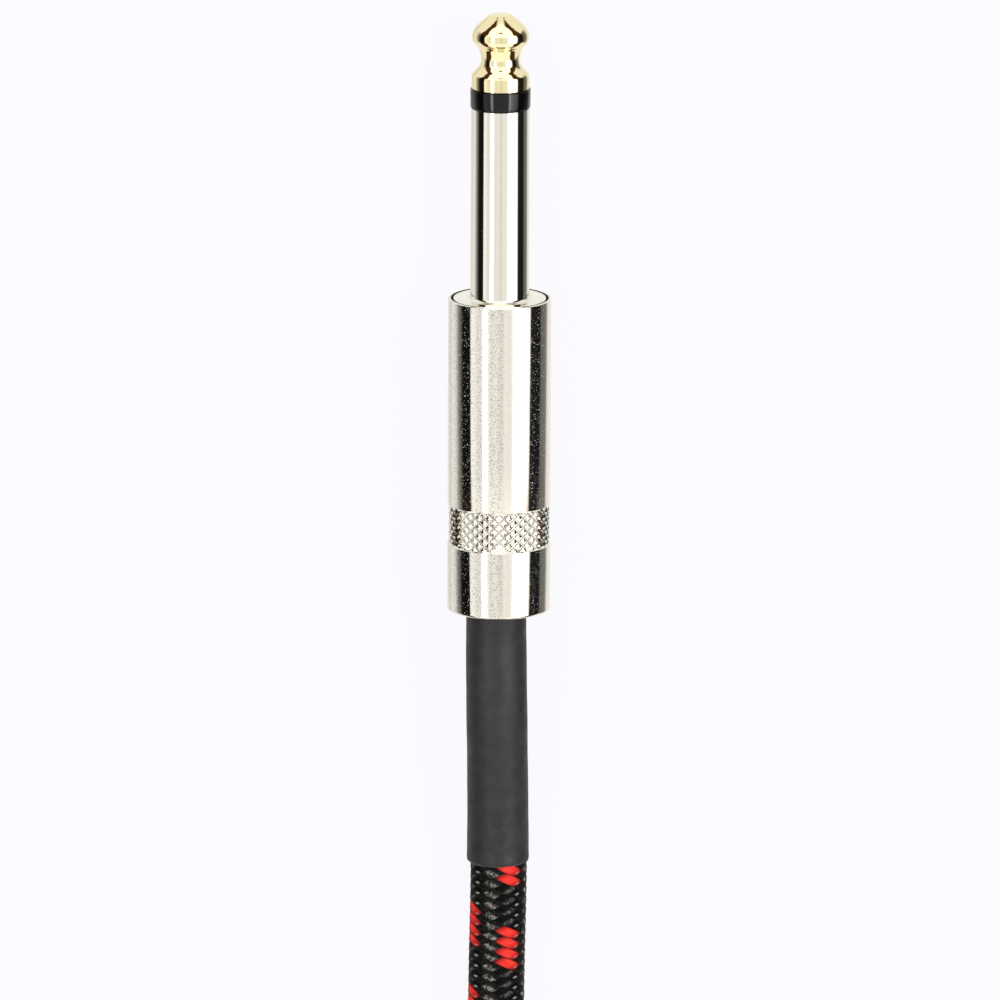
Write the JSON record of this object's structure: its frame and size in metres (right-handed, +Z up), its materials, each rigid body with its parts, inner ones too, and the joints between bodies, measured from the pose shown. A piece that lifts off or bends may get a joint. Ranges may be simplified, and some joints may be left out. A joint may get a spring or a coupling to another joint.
{
  "type": "instrument cable",
  "caption": "Braided instrument cable with a straight quarter-inch phone plug on each end, its slack wound into a round coil held by a strap.",
  "frame": {"origin": "on the surface the cable lies on, under the middle of the near plug and its heat shrink", "axes": "+Y along the near plug towards its tip, +Z up, the coil and the far plug lie towards -X and -Y"},
  "size_m": [0.0958, 0.2129, 0.025],
  "materials": {
    "gold_plate": "bright gold plating, polished",
    "rod_brass": "drawn brass",
    "black_insulator": "moulded, glossy black",
    "natural_nylon": "extruded, natural",
    "nickel_plate": "bright nickel plating on turned brass",
    "nickel_barrel": "bright nickel plating on turned brass, diamond-knurled band",
    "tinned_lug": "stamped and tinned",
    "fibre_washer": "vulcanised fibre",
    "clear_liner": "thin clear insulating tube",
    "heat_shrink": "satin charcoal sleeve",
    "cord_braid": "tight braid, black with red and grey flecks",
    "inner_jacket": "satin black",
    "dielectric": "white",
    "copper": "bare stranded copper",
    "solder": "bright solder",
    "strap_fabric": "hook-and-loop tape, black"
  },
  "bodies": {
    "root": {"near_tip_contact": "gold_plate", "near_tip_rod": "rod_brass", "near_tip_insulator": "black_insulator", "near_rod_insulator": "natural_nylon", "near_plug_body": "nickel_plate", "near_ground_lug": "tinned_lug", "near_lug_washer": "fibre_washer", "near_tip_lug": "tinned_lug", "near_heat_shrink": "heat_shrink", "near_cord_jacket_end": "cord_braid", "near_inner_jacket": "inner_jacket", "near_dielectric": "dielectric", "near_conductor": "copper", "near_shield_pigtail": "copper", "near_tip_solder": "solder", "near_ground_solder": "solder", "far_tip_contact": "gold_plate", "far_tip_rod": "rod_brass", "far_tip_insulator": "black_insulator", "far_rod_insulator": "natural_nylon", "far_plug_body": "nickel_plate", "far_ground_lug": "tinned_lug", "far_lug_washer": "fibre_washer", "far_tip_lug": "tinned_lug", "far_heat_shrink": "heat_shrink", "far_cord_jacket_end": "cord_braid", "far_inner_jacket": "inner_jacket", "far_dielectric": "dielectric", "far_conductor": "copper", "far_shield_pigtail": "copper", "far_tip_solder": "solder", "far_ground_solder": "solder", "cord_lead_near": "cord_braid", "cord_coil": "cord_braid", "cord_lead_far": "cord_braid", "coil_strap": "strap_fabric"},
    "near_liner": {"near_barrel_liner": "clear_liner"},
    "near_barrel": {"near_barrel": "nickel_barrel"},
    "far_liner": {"far_barrel_liner": "clear_liner"},
    "far_barrel": {"far_barrel": "nickel_barrel"}
  },
  "joints": [
    {"name": "near_barrel_travel", "type": "slide", "parent": "root", "child": "near_liner", "axis": [0, -1, 0], "range_m": [0, 0.005]},
    {"name": "near_barrel_turn", "type": "hinge", "parent": "near_liner", "child": "near_barrel", "pos_m": [0, 0.0159, 0.00555], "axis": [0, -1, 0], "range_deg": [0, 2403.6]},
    {"name": "far_barrel_travel", "type": "slide", "parent": "root", "child": "far_liner", "axis": [0, -1, 0], "range_m": [0, 0.005]},
    {"name": "far_barrel_turn", "type": "hinge", "parent": "far_liner", "child": "far_barrel", "pos_m": [-0.0841, 0.015, 0.00555], "axis": [0, -1, 0], "range_deg": [0, 2403.6]}
  ],
  "couplings": [
    {"joint": "near_barrel_turn", "follows": "near_barrel_travel", "rad_per_m": 8377.6},
    {"joint": "far_barrel_turn", "follows": "far_barrel_travel", "rad_per_m": 8377.6}
  ]
}
